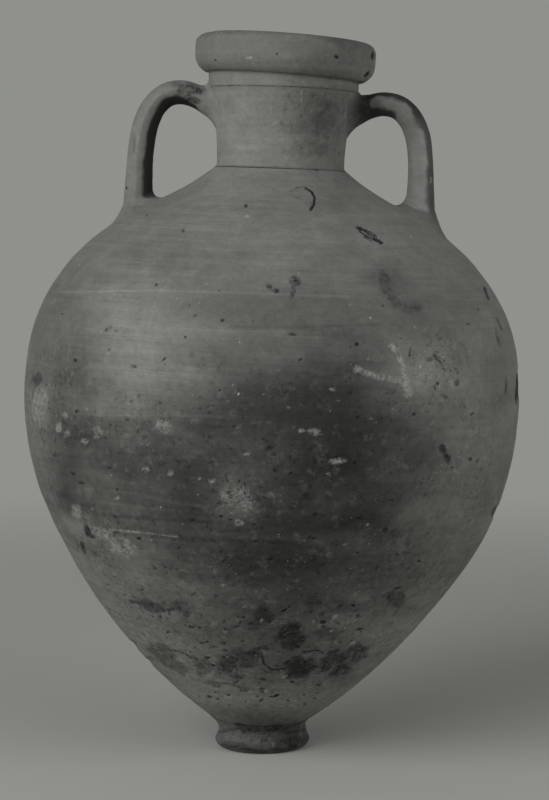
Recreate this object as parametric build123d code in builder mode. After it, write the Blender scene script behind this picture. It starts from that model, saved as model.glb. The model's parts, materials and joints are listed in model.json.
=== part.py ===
from build123d import *
from math import hypot
import os

# Large two-handled storage jar of unglazed fired clay, about 0.72 m tall.
# It was thrown in sections on a wheel: a small foot, five wall sections, a neck and a heavy rim.
# The sections and the two loop handles were stuck together with luting clay, which has its own pieces here.
# Lengths are in millimetres and angles in degrees. The jar stands on z = 0, its foot centred on the origin,
# the handles lie along X, and the body leans a little towards +X, as it does on the real jar.

# Foot
foot_height = 23.0
foot_rest_radius = 41.0
foot_flange_radius = 47.5
foot_flange_height = 8.4
foot_waist_radius = 43.5
foot_side_hollow = 1.2
foot_hollow_radius = 27.0
foot_hollow_depth = 8.0
foot_hollow_shares = (0.55, 0.75)
foot_luting = 2.6

# Body
body_height = 558.0
belly_radius = 247.0
base_radius = 45.0
wall = 9.0
floor_thickness = 17.0
body_lean = 2.2
body_off_centre = 3.2

# Neck
neck_height = 86.9
neck_base_radius = 64.0
neck_top_radius = 75.2
neck_wall = 9.5
neck_top_wall = 14.7
neck_land = 5.0
band_height = 12.0
band_step = 0.8

# Rim
rim_height = 38.7
rim_overhang = 14.8
rim_widest_height = 17.5
rim_face_height = 10.5
rim_under_step = 4.0
rim_groove_depth = 1.4
rim_tilt = 2.0
mouth_step = 2.0
mouth_round = 8.0

# Handles
grip_thickness = 25.5
grip_width = 35.0
handle_reach = 141.5
left_crown_drop = 16.5
right_crown_drop = 20.5

# Joints between the clay pieces
luting = 1.6
joint_bevel = 22.0
neck_line_depth = 0.7
overrun = 30.0
halvings = 30

# Outer outline of the body from the foot to the neck: shares of body_height and of belly_radius
body_shares = (
    (0.024, 0.255),
    (0.055, 0.340),
    (0.135, 0.524),
    (0.243, 0.721),
    (0.350, 0.868),
    (0.457, 0.960),
    (0.598, 1.000),
    (0.7265, 0.955),
    (0.833, 0.812),
    (0.9065, 0.606),
    (0.960, 0.386),
)
# Wall thickness at those points, as shares of wall: thick near the floor, where the weight is carried
wall_shares = (1.9, 1.7, 1.4, 1.2, 1.1, 1.0, 1.0, 0.95, 0.9, 0.9, 0.95)
# Outer outline of the neck below its band: shares of neck_height and of the widening from base to top
neck_shares = ((0.22, 0.03), (0.45, 0.2), (0.7, 0.55))
# Where the body's sections meet, as shares along its outer outline
seam_shares = {"base": 0.215, "lower": 0.385, "belly": 0.568, "upper": 0.745}

# Centre line of a handle from the neck to the shoulder: shares of handle_reach and of the handle's height
handle_shares = (
    (0.360, 0.820),
    (0.505, 0.910),
    (0.60, 0.968),
    (0.707, 1.000),
    (0.81, 0.975),
    (0.893, 0.885),
    (0.952, 0.735),
    (0.981, 0.520),
    (0.990, 0.280),
    (0.989, 0.110),
    (0.978, -0.020),
    (0.985, -0.140),
    (1.000, -0.280),
)
# Width and thickness of the handle at those points, as shares of grip_width and grip_thickness
handle_size_shares = (
    (1.60, 1.34),
    (1.34, 1.10),
    (1.08, 0.98),
    (1.0, 0.97),
    (1.0, 0.97),
    (1.0, 0.98),
    (1.0, 1.0),
    (1.0, 1.0),
    (1.02, 1.05),
    (1.14, 1.19),
    (1.32, 1.50),
    (1.48, 1.76),
    (1.60, 2.00),
)

os.makedirs("parts", exist_ok=True)


def save(shape, name):
    """Names a finished piece and writes it."""
    shape.label = name
    export_step(shape, f"parts/{name}.step")


def shifted(points, distances):
    """The inner points of an outline, each moved square to it: outwards for a positive distance."""
    moved = []
    for before, here, after, distance in zip(points, points[1:], points[2:], distances):
        along_r, along_z = after[0] - before[0], after[1] - before[1]
        length = hypot(along_r, along_z)
        moved.append((here[0] + distance * along_z / length, here[1] - distance * along_r / length))
    return moved


# Radii of the rim and the mouth, which follow the top of the neck
rim_radius = neck_top_radius + rim_overhang
rim_under_radius = neck_top_radius + rim_under_step
neck_mouth_radius = neck_top_radius - neck_top_wall
mouth_radius = neck_mouth_radius + mouth_step

# Frames: the body's axis leans, and the rim sits a little askew on the neck
foot_top = Plane.XY.offset(foot_height)
body_frame = Plane(Location((-body_off_centre, 0, foot_height + foot_luting), (0, body_lean, 0)))
body_axis = Axis(body_frame.origin, body_frame.z_dir)
rim_seat = body_frame.offset(body_height + neck_height).rotated((0, rim_tilt, 0))
rim_frame = rim_seat.offset(luting)
rim_axis = Axis(rim_frame.origin, rim_frame.z_dir)


def profile_plane(frame):
    """The upright plane through a frame's Y, in which x is the radius and y the height."""
    return Plane(frame.origin, x_dir=frame.y_dir, z_dir=frame.x_dir)


body_profile = profile_plane(body_frame)

# Outlines of the body and the neck, as radius and height in the body's frame
neck_inner_radius = neck_base_radius - neck_wall
ridge_height = body_height + neck_height - band_height
body_points = [
    (base_radius, 0),
    *[(radius * belly_radius, height * body_height) for height, radius in body_shares],
    (neck_base_radius, body_height),
]
inner_points = shifted(body_points, [-wall * share for share in wall_shares])
neck_flare = neck_top_radius - neck_base_radius
neck_points = [
    (neck_base_radius, body_height),
    *[
        (neck_base_radius + flare * neck_flare, body_height + height * neck_height)
        for height, flare in neck_shares
    ],
    (neck_top_radius - band_step, ridge_height),
]
grown_body_points = [
    (base_radius + luting, 0),
    *shifted(body_points, [luting] * len(wall_shares)),
    (neck_base_radius + luting, body_height),
]
grown_neck_points = [
    (neck_base_radius + luting, body_height),
    *shifted(neck_points, [luting] * len(neck_shares)),
    (neck_top_radius - band_step + luting, ridge_height),
]

with BuildLine() as body_outline:
    Spline(*body_points)


def seam_ends(share, shift):
    """Inner and outer end of a bevelled cut through the wall, moved along the wall by shift."""
    across = (body_outline.line % share).rotate(Axis.Z, -90)
    cut = across.rotate(Axis.Z, joint_bevel)
    middle = body_outline.line @ share + (body_outline.line % share) * shift
    return middle - cut * overrun, middle + cut * overrun


def draw_wall():
    """The cut face of the whole body wall, from the floor's centre to the neck."""
    with BuildLine() as outline:
        outer = Spline(*body_points)
        inner = Spline(
            (0, floor_thickness),
            *inner_points,
            (neck_inner_radius, body_height - neck_land),
            tangents=[(1, 0), (-1, 1)],
        )
        Polyline(inner @ 1, (neck_inner_radius, body_height), outer @ 1)
        Polyline(outer @ 0, (0, 0), inner @ 0)
    make_face(outline.edges())


def keep_between(lower_ends, upper_ends):
    """Keeps the part of the sketch that lies between two cuts through the wall."""
    with BuildLine() as band:
        Polyline(*lower_ends, *reversed(upper_ends), close=True)
    make_face(band.edges(), mode=Mode.INTERSECT)


# Ends of the lowest section, taken round the floor, and of the highest: neither has a bevelled seam there
bottom_ends = (
    Vector(-overrun, floor_thickness + overrun),
    Vector(-overrun, -overrun),
    Vector(belly_radius, -overrun),
)
shoulder_top = body_height - luting
top_ends = (Vector(-overrun, shoulder_top), Vector(belly_radius, shoulder_top))

# Foot: a low spreading ring with a hollow underside
with BuildPart() as foot:
    with BuildSketch(Plane.XZ):
        with BuildLine():
            Polyline((0, foot_height), (0, foot_hollow_depth))
            ThreePointArc(
                (0, foot_hollow_depth),
                (foot_hollow_radius * foot_hollow_shares[0], foot_hollow_depth * foot_hollow_shares[1]),
                (foot_hollow_radius, 0),
            )
            Line((foot_hollow_radius, 0), (foot_rest_radius, 0))
            TangentArc(
                (foot_flange_radius, foot_flange_height),
                (foot_rest_radius, 0),
                tangent=(0, -1),
            )
            ThreePointArc(
                (foot_flange_radius, foot_flange_height),
                (
                    (foot_flange_radius + foot_waist_radius) / 2 - foot_side_hollow,
                    (foot_flange_height + foot_height) / 2,
                ),
                (foot_waist_radius, foot_height),
            )
            Line((foot_waist_radius, foot_height), (0, foot_height))
        make_face()
    revolve(axis=Axis.Z)
save(foot.part, "foot")

# Wedge of luting clay between the level foot and the leaning body
with BuildPart() as foot_joint:
    with BuildSketch(foot_top):
        Circle(foot_waist_radius)
    with BuildSketch(body_frame):
        Circle(base_radius)
    loft(ruled=True)
save(foot_joint.part, "foot_luting")

# Body wall, in five sections with a ring of luting clay in each bevelled seam
seam_names = list(seam_shares)
for index, name in enumerate([*seam_names, "shoulder"]):
    with BuildPart() as section:
        with BuildSketch(body_profile):
            draw_wall()
            keep_between(
                seam_ends(seam_shares[seam_names[index - 1]], luting / 2) if index else bottom_ends,
                seam_ends(seam_shares[name], -luting / 2) if name in seam_shares else top_ends,
            )
        revolve(axis=body_axis)
    save(section.part, f"{name}_section")

for name, share in seam_shares.items():
    with BuildPart() as seam:
        with BuildSketch(body_profile):
            draw_wall()
            keep_between(seam_ends(share, -luting / 2), seam_ends(share, luting / 2))
        revolve(axis=body_axis)
    save(seam.part, f"{name}_seam_luting")

# Ring of luting clay under the neck, set back so that it shows as a fine line
with BuildPart() as neck_joint:
    with BuildSketch(body_frame.offset(shoulder_top)):
        Circle(neck_base_radius - neck_line_depth)
        Circle(neck_inner_radius, mode=Mode.SUBTRACT)
    extrude(amount=luting)
save(neck_joint.part, "neck_luting")

# Neck: widens upwards to a low raised band, and is cut aslant where the rim sits
with BuildPart() as neck:
    with BuildSketch(body_profile):
        with BuildLine():
            side = Spline(*neck_points)
            band_top = ridge_height + band_height + overrun
            Polyline(
                side @ 1,
                (neck_top_radius, ridge_height + band_step),
                (neck_top_radius, band_top),
                (neck_mouth_radius, band_top),
                (neck_mouth_radius, ridge_height),
                (neck_inner_radius, body_height),
                side @ 0,
            )
        make_face()
    revolve(axis=body_axis)
    split(bisect_by=rim_seat, keep=Keep.BOTTOM)
save(neck.part, "neck")

# Ring of luting clay under the rim, set back so that it shows as a groove
with BuildPart() as rim_joint:
    with BuildSketch(rim_seat):
        Circle(neck_top_radius - rim_groove_depth)
        Circle(neck_mouth_radius, mode=Mode.SUBTRACT)
    extrude(amount=luting)
save(rim_joint.part, "rim_luting")

# Rim: a heavy collar, rounded below and at the lip, with an upright face and a plain round mouth
with BuildPart() as rim:
    with BuildSketch(profile_plane(rim_frame)):
        with BuildLine():
            face_top = rim_widest_height + rim_face_height
            lip_radius = rim_height - face_top
            widest = (rim_radius, rim_widest_height)
            TangentArc(widest, (rim_under_radius, 0), tangent=(0, -1))
            Line(widest, (rim_radius, face_top))
            crown = (rim_radius - lip_radius, rim_height)
            TangentArc((rim_radius, face_top), crown, tangent=(0, 1))
            inner_edge = (mouth_radius + mouth_round, rim_height)
            mouth_edge = (mouth_radius, rim_height - mouth_round)
            Line(crown, inner_edge)
            TangentArc(inner_edge, mouth_edge, tangent=(-1, 0))
            Polyline(mouth_edge, (mouth_radius, 0), (rim_under_radius, 0))
        make_face()
    revolve(axis=rim_axis)
save(rim.part, "rim")


# The jar as if solid, and the same one luting layer larger: they shape the roots of the handles
cores = []
for body_side, neck_side in ((body_points, neck_points), (grown_body_points, grown_neck_points)):
    with BuildPart() as core:
        with BuildSketch(body_profile):
            with BuildLine():
                body_edge = Spline(*body_side)
                neck_edge = Spline(*neck_side)
                band_radius = (neck_edge @ 1).X + band_step
                core_top = body_height + neck_height
                Polyline(
                    neck_edge @ 1,
                    (band_radius, ridge_height + band_step),
                    (band_radius, core_top),
                    (0, core_top),
                    (0, 0),
                    body_edge @ 0,
                )
            make_face()
        revolve(axis=body_axis)
    cores.append(core.part)
jar_core, grown_core = cores


def shoulder_height(radius):
    """Height at which the shoulder's outer face has this radius, found by halving."""
    low, high = seam_shares["upper"], 1.0
    for _ in range(halvings):
        middle = (low + high) / 2
        if (body_outline.line @ middle).X > radius:
            low = middle
        else:
            high = middle
    return (body_outline.line @ low).Y


seat_height = shoulder_height(handle_reach)

# Handles: loops of oval section, spreading where they were pressed on to the neck and the shoulder
for side, turn, crown_drop in (("left", 90, left_crown_drop), ("right", -90, right_crown_drop)):
    handle_frame = Plane(body_frame.location * Rotation(0, 0, turn))
    handle_rise = body_height + neck_height - crown_drop - seat_height
    handle_points = [
        (reach * handle_reach, seat_height + height * handle_rise) for reach, height in handle_shares
    ]
    with BuildLine(profile_plane(handle_frame)) as bow:
        Spline(*handle_points)
    stations = [profile_plane(handle_frame).from_local_coords(point) for point in handle_points]
    with BuildPart() as form:
        for station, (width, thickness) in zip(stations, handle_size_shares):
            direction = bow.edge().tangent_at(station)
            with BuildSketch(Plane(station, x_dir=handle_frame.x_dir, z_dir=direction)):
                Ellipse(width * grip_width / 2, thickness * grip_thickness / 2)
        loft()
    with BuildPart() as handle:
        add(form.part)
        add(grown_core, mode=Mode.SUBTRACT)
    save(handle.part, f"{side}_handle")
    with BuildPart() as roots:
        add(form.part)
        add(grown_core, mode=Mode.INTERSECT)
        add(jar_core, mode=Mode.SUBTRACT)
    lower_root, *_, upper_root = roots.solids().sort_by(Axis.Z)
    save(lower_root, f"{side}_handle_shoulder_luting")
    save(upper_root, f"{side}_handle_neck_luting")
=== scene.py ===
import json
import math
from itertools import product

import bmesh
import bpy
import numpy as np
from mathutils import Matrix, Vector


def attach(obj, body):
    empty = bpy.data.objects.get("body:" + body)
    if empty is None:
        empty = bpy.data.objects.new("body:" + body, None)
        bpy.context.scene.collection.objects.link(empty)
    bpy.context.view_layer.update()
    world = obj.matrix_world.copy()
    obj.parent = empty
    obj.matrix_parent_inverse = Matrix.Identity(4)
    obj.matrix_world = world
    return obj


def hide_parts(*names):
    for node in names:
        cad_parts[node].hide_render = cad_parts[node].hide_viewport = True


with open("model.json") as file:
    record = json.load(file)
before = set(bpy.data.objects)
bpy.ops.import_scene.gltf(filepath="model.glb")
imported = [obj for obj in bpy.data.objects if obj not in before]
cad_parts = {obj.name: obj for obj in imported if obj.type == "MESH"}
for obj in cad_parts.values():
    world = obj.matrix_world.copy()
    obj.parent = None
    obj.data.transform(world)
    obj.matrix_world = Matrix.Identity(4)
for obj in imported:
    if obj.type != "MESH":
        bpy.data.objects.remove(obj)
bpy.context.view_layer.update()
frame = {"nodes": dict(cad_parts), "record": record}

# Frames, in metres and radians: the body leans towards +X on a level foot, and the rim sits askew on the neck
BODY_ORIGIN = Vector((-0.0032, 0.0, 0.0256))
BODY_LEAN = math.radians(2.2)
RIM_TILT = math.radians(2.0)
MOUTH = next(mount for mount in frame["record"]["mounts"] if mount["name"] == "mouth")
RIM_BORE_RISE = MOUTH["dims"]["length_mm"] / 1000
FOOT_TOP = 0.023
NECK_BASE_RADIUS = 0.0640
NECK_TOP_RADIUS = 0.0752
BAND_BASE = 0.6337
LINE_WIDTH = 0.0007
LINE_DEPTH = 0.0004
CLAY = (0.208, 0.212, 0.194)
# The floor and the backdrop
PAPER = (0.55, 0.555, 0.515)
BACKDROP = (0.279, 0.284, 0.262)
FLOOR_HALF = 14.0
FLOOR_FADE = (0.7, 2.2)
WORLD_LIGHT = 0.158

# Camera, as fitted to the photograph's outline
IMAGE_WIDTH, IMAGE_HEIGHT = 549, 800
CAMERA_PLACE = Vector((0.0123, -2.222, 0.5411))
CAMERA_DIP = math.radians(4.887)
CAMERA_LENS = 100.0
SENSOR = 36.0

# Lights: name, place, target, size in metres and power in watts
LIGHTS = (
    ("key", (-2.40, -2.55, 1.95), (0.0, 0.0, 0.42), 3.4, 97.0),
    ("fill", (2.9, -1.9, 1.6), (0.0, 0.0, 0.40), 2.6, 34.5),
)

# Turned pieces, from the foot upwards
JOINED = ("base", "lower", "belly", "upper")
BODY_NODES = [f"{name}_{kind}" for name in JOINED for kind in ("section", "seam_luting")]
BODY_NODES.append("shoulder_section")

# Mesh sizes: columns round the jar are closest at the front, which the photograph shows
COARSE = 1.0
MOST_TRIANGLES = 190000 / COARSE**2
BODY_COLUMNS = round(840 / COARSE)
NECK_COLUMNS = round(560 / COARSE)
FOOT_COLUMNS = round(420 / COARSE)
BACK_TO_FRONT = 3.0
SKIN_STEP = 0.0013 * COARSE
LINING_STEP = 0.010
FINE_STEP = 0.0010 * COARSE
CORNER_ANGLE = math.radians(24)
SHARP_ANGLE = math.radians(48)

# Handles: the centre line from the neck to the shoulder and the section along it, as in the solid
HANDLE_REACH = 0.1415
SEAT_HEIGHT = 0.5120
NECK_TOP_HEIGHT = 0.6449
CROWN_DROP = {"left": 0.0165, "right": 0.0205}
GRIP_THICKNESS = 0.0255
GRIP_WIDTH = 0.035
# Shares of the reach and the height, and of the grip's width and thickness
HANDLE_SHARES = (
    (0.360, 0.820), (0.505, 0.910), (0.600, 0.968), (0.707, 1.000), (0.810, 0.975), (0.893, 0.885),
    (0.952, 0.735), (0.981, 0.520), (0.990, 0.280), (0.989, 0.110), (0.978, -0.020), (0.985, -0.140),
    (1.000, -0.280),
)
HANDLE_SIZE_SHARES = (
    (1.35, 1.20), (1.16, 1.04), (1.04, 0.97), (1.00, 0.97), (1.00, 0.97), (1.00, 0.98), (1.00, 1.00),
    (1.00, 1.00), (1.02, 1.05), (1.12, 1.16), (1.26, 1.40), (1.40, 1.62), (1.50, 1.80),
)
RIDGE_SHARES = {"left": 0.16, "right": 0.44}
RIDGE_POWER = 1.4
ROOT_DEPTH = 0.002
FLARE_REACH = 0.012
FLARE_SHARE = 0.10
SMEARS = {
    # rise up the handle, reach over the wall in line with the handles and across them
    "left": {"neck": (0.007, 0.008, 0.010), "shoulder": (0.010, 0.010, 0.024)},
    "right": {"neck": (0.010, 0.010, 0.012), "shoulder": (0.016, 0.014, 0.026)},
}
SMEAR_DIP = 0.0006
SMEAR_ROWS = 22
# Painted shade on the handles: how dark it makes the faces turned away from the light, and over which
# brightness it shades off
PAINTED_SHADE = {"left": 0.90, "right": 0.60}
PAINTED_SHADE_EDGE = {"left": (0.28, 0.56), "right": (0.30, 0.52)}
# How fast the painted shade fades over a smear, where that isn't evenly
PAINTED_SHADE_FADE = {"right_handle_neck_luting": 0.7}
# Where the painted shade ends towards the left neck root, and begins at the right one
PAINTED_SHADE_ROOT = {"left": (-0.068, -0.056), "right": (0.097, 0.117)}

# The body's slow bends, measured against the photograph's outline: height, half height and size of each
SIDE_BENDS = ((0.150, 0.050, -0.0006), (0.205, 0.060, 0.0026))
SHOULDER_SWELL = (0.470, 0.035, -0.0006)
FOOT_SWELL = 0.0012
FOOT_FILLET = 0.0045
FILLET_SKIN = 0.0003
FILLET_ROWS = 13

# The wall's small relief: height, width and seed of each noise
SWELLS = ((0.0007, 0.17, 21), (0.0004, 0.06, 22))
SWELL_BIAS = -0.0003
WHEEL_LINES = ((0.00012, (0.5, 0.5, 0.0045), 31), (0.00022, (0.35, 0.35, 0.012), 32))
GRAIN_HEIGHT = 0.00012
HOLLOW_DEPTH = 0.0006
CRATER_DEPTH = 0.0009
CRUST_HEIGHT = 0.0006
# How deep below the outer face the small relief ends, and how much of it the other pieces have
SKIN_DEPTHS = (0.0012, 0.004)
SEAM_SKIN, HANDLE_SKIN, SMEAR_SKIN = 0.6, 0.7, 0.85
# The tone of seams, and how dark the line under the neck's band is
SEAM_TONE = 0.85
LINE_DARK = 0.42
CHALK = (0.42, 0.425, 0.395)
MILLIMETRE = 0.001
# The jar's middle and half width in the photograph, and the row where it starts to taper
JAR_MIDDLE = 265
JAR_HALF = 235
TAPER_ROW = 480


def body_matrix():
    """From the body's own frame to the world."""
    return Matrix.Translation(BODY_ORIGIN) @ Matrix.Rotation(BODY_LEAN, 4, "Y")


def rim_matrix():
    """From the rim's own frame, which starts at its underside, to the world."""
    base = Vector(MOUTH["pos_m"]) - Vector(MOUTH["axis"]) * RIM_BORE_RISE
    return Matrix.Translation(base) @ Matrix.Rotation(BODY_LEAN + RIM_TILT, 4, "Y")


def moved(points, matrix):
    """Points of an array carried by a matrix."""
    m = np.array(matrix)
    return points @ m[:3, :3].T + m[:3, 3]


def turned(vectors, matrix):
    """Directions of an array turned by a matrix."""
    return vectors @ np.array(matrix)[:3, :3].T


# Noise


def hashed(ix, iy, iz, seed):
    """A steady number from -1 to 1 for each cell of a lattice."""
    h = ix.astype(np.uint32) * np.uint32(374761393) + iy.astype(np.uint32) * np.uint32(668265263)
    h = h + iz.astype(np.uint32) * np.uint32(2246822519) + np.uint32(seed * 144665 + 1013904223)
    h = (h ^ (h >> np.uint32(13))) * np.uint32(1274126177)
    h = (h ^ (h >> np.uint32(16))) * np.uint32(2654435761)
    h = h ^ (h >> np.uint32(15))
    return h.astype(np.float64) / 2147483647.5 - 1.0


def noise(points, size, seed=0):
    """Smooth noise from -1 to 1 whose bumps are about as wide as size, a number or one for each axis."""
    p = points / np.asarray(size, float)
    cell = np.floor(p).astype(np.int64)
    t = p - cell
    t = t * t * t * (t * (t * 6 - 15) + 10)
    sides = 1 - t, t
    total = 0.0
    for dx, dy, dz in product((0, 1), repeat=3):
        weight = sides[dx][:, 0] * sides[dy][:, 1] * sides[dz][:, 2]
        total = total + weight * hashed(cell[:, 0] + dx, cell[:, 1] + dy, cell[:, 2] + dz, seed)
    return total


def rough_noise(points, size, octaves=4, seed=0):
    """Several layers of noise, each half as large and half as strong as the one before."""
    size = np.asarray(size, float)
    layers = [noise(points, size / 2**k, seed + 17 * k) / 2**k for k in range(octaves)]
    return sum(layers) / sum(1 / 2**k for k in range(octaves))


def smooth_step(low, high, value):
    """0 below low, 1 above high and smooth between."""
    t = np.clip((value - low) / (high - low), 0, 1)
    return t * t * (3 - 2 * t)


def pits(points, cell, share, radius, seed):
    """Scattered round hollows, at most one in each cell of a lattice: 1 at their middles, 0 between them."""
    base = np.floor(points / cell).astype(np.int64)
    found = np.zeros(len(points))
    for step in product((-1, 0, 1), repeat=3):
        cells = base + step
        here = hashed(*cells.T, seed) < share * 2 - 1
        if not here.any():
            continue
        cells = cells[here]
        spot = np.stack([hashed(*cells.T, seed + k) for k in (1, 2, 3)], 1) * 0.5 + 0.5
        size = radius * (0.7 + 0.6 * np.abs(hashed(*cells.T, seed + 4)))
        away = np.linalg.norm(points[here] - (cells + spot) * cell, axis=1) / size
        found[here] = np.maximum(found[here], 1 - smooth_step(0.35, 1.0, away))
    return found


# Outlines of the turned pieces, read from the frame


def outline_of(node, matrix, towards):
    """The outline of a turned node in its own frame, as rows of radius and height, and whether it is closed.

    The node's mesh has vertices all along the half-plane in which it was drawn, and the edges there are the
    outline.
    """
    mesh = frame["nodes"][node].data
    points = np.empty(len(mesh.vertices) * 3)
    mesh.vertices.foreach_get("co", points)
    local = moved(points.reshape(-1, 3), matrix.inverted())
    along, across = (local[:, 1], local[:, 0]) if towards == "y" else (local[:, 0], local[:, 1])
    on_plane = (np.abs(across) < 2e-6) & (along > -1e-7)
    links = {}
    for edge in mesh.edges:
        a, b = edge.vertices
        if on_plane[a] and on_plane[b]:
            first = (round(along[a], 6), round(local[a, 2], 6))
            second = (round(along[b], 6), round(local[b, 2], 6))
            if first != second and max(first[0], second[0]) > 1e-6:
                links.setdefault(first, set()).add(second)
                links.setdefault(second, set()).add(first)
    ends = [spot for spot, joined in links.items() if len(joined) == 1]
    chain = [min(ends) if ends else min(links)]
    while True:
        after = [spot for spot in links[chain[-1]] if spot not in chain]
        if not after:
            break
        chain.append(after[0])
    chain = np.array(chain)
    after = np.roll(chain, -1, axis=0)
    if (chain[:, 0] * after[:, 1] - after[:, 0] * chain[:, 1]).sum() < 0:
        chain = chain[::-1]
    return chain, not ends


def smooth_run(points, step):
    """A smooth curve through points, with new points about step apart and the ends kept."""
    if len(points) < 3:
        count = max(1, round(float(np.linalg.norm(points[-1] - points[0])) / step))
        t = np.linspace(0, 1, count + 1)[:, None]
        return points[0] * (1 - t) + points[-1] * t
    padded = np.vstack([2 * points[0] - points[1], points, 2 * points[-1] - points[-2]])
    dense = []
    for p0, p1, p2, p3 in zip(padded, padded[1:], padded[2:], padded[3:]):
        d0, d1, d2 = (float(np.linalg.norm(q - p)) ** 0.5 + 1e-9 for p, q in ((p0, p1), (p1, p2), (p2, p3)))
        m1 = (p2 - p1) + d1 * ((p1 - p0) / d0 - (p2 - p0) / (d0 + d1))
        m2 = (p2 - p1) + d1 * ((p3 - p2) / d2 - (p3 - p1) / (d1 + d2))
        t = np.linspace(0, 1, 24, endpoint=False)[:, None]
        curve = (2 * t**3 - 3 * t**2 + 1) * p1 + (t**3 - 2 * t**2 + t) * m1
        dense.append(curve + (-2 * t**3 + 3 * t**2) * p2 + (t**3 - t**2) * m2)
    dense = np.vstack(dense + [points[-1:]])
    length = np.concatenate([[0], np.cumsum(np.linalg.norm(np.diff(dense, axis=0), axis=1))])
    count = max(2, round(length[-1] / step))
    places = np.linspace(0, length[-1], count + 1)
    return np.stack([np.interp(places, length, dense[:, k]) for k in range(dense.shape[1])], 1)


def finer_outline(chain, closed, skin_step, lining_step):
    """The outline with closer points: its corners stay, and the runs between them are smooth."""
    before = np.roll(chain, 1, axis=0)
    after = np.roll(chain, -1, axis=0)
    first, second = chain - before, after - chain
    cross = first[:, 0] * second[:, 1] - first[:, 1] * second[:, 0]
    corner = np.abs(np.arctan2(cross, (first * second).sum(1))) > CORNER_ANGLE
    if not closed:
        corner[0] = corner[-1] = True
    starts = list(np.flatnonzero(corner))
    runs = []
    for here, there in zip(starts, starts[1:] + ([starts[0] + len(chain)] if closed else [])):
        run = chain[np.arange(here, there + 1) % len(chain)]
        way = run[-1] - run[0]
        outside = way[1] - 0.3 * way[0] > 0.15 * float(np.linalg.norm(way))
        runs.append(smooth_run(run, skin_step if outside else lining_step)[:-1])
    if not closed:
        runs.append(chain[-1:])
    return np.vstack(runs)


# The body's and the neck's outer face, as a radius and a slope at each height of the body's frame
TURNED = {name: outline_of(name, body_matrix(), "y") for name in (*BODY_NODES, "neck")}
TURNED["neck_luting"] = outline_of("neck_luting", body_matrix(), "x")


def outer_table():
    """Heights, radii and slopes of the outer face from the foot to the rim."""
    outlines = [finer_outline(*TURNED[name], SKIN_STEP, LINING_STEP) for name in TURNED]
    step, window = 0.001, 7
    heights = np.arange(0.0, max(outline[:, 1].max() for outline in outlines), step)
    radii = np.zeros(len(heights))
    for outline in outlines:
        for (r0, z0), (r1, z1) in zip(outline, np.roll(outline, -1, axis=0)):
            if abs(z1 - z0) > 1e-9:
                crossed = (heights >= min(z0, z1)) & (heights <= max(z0, z1))
                radius = r0 + (r1 - r0) * (heights[crossed] - z0) / (z1 - z0)
                radii[crossed] = np.maximum(radii[crossed], radius)
    padded = np.pad(radii, window // 2, mode="edge")
    even = np.convolve(padded, np.ones(window) / window, mode="valid")
    return heights, radii, np.gradient(even, heights)


OUTER_HEIGHTS, OUTER_RADII, OUTER_SLOPES = outer_table()


def outer_radius(height):
    return np.interp(height, OUTER_HEIGHTS, OUTER_RADII)


def body_normals(local):
    """Directions out of the jar's outer face at points of the body's frame, and how deep the points lie."""
    radius = np.hypot(local[:, 0], local[:, 1])
    slope = np.clip(np.interp(local[:, 2], OUTER_HEIGHTS, OUTER_SLOPES), -2.0, 2.0)
    scale = 1 / np.sqrt(1 + slope**2)
    flat = local[:, :2] / np.maximum(radius, 1e-9)[:, None]
    normals = np.column_stack([flat * scale[:, None], -slope * scale])
    return normals, (outer_radius(local[:, 2]) - radius) * scale


# Marks, placed by the photograph's pixels


def photo_places(points, mirrored=False):
    """Where points lie in the photograph, in pixels; mirrored looks from behind the jar instead."""
    sign = -1 if mirrored else 1
    away = points * (sign, sign, 1) - np.array(CAMERA_PLACE)
    depth = away[:, 1] * math.cos(CAMERA_DIP) - away[:, 2] * math.sin(CAMERA_DIP)
    rise = away[:, 1] * math.sin(CAMERA_DIP) + away[:, 2] * math.cos(CAMERA_DIP)
    scale = CAMERA_LENS / SENSOR * IMAGE_HEIGHT / depth
    return IMAGE_WIDTH / 2 + away[:, 0] * scale, IMAGE_HEIGHT / 2 - rise * scale


def facing(points, normals, mirrored=False):
    """How squarely each point faces the camera, or the same camera behind the jar."""
    sign = -1 if mirrored else 1
    ray = np.array(CAMERA_PLACE) - points * (sign, sign, 1)
    ray /= np.linalg.norm(ray, axis=1)[:, None]
    return (normals * (sign, sign, 1) * ray).sum(1)


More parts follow.
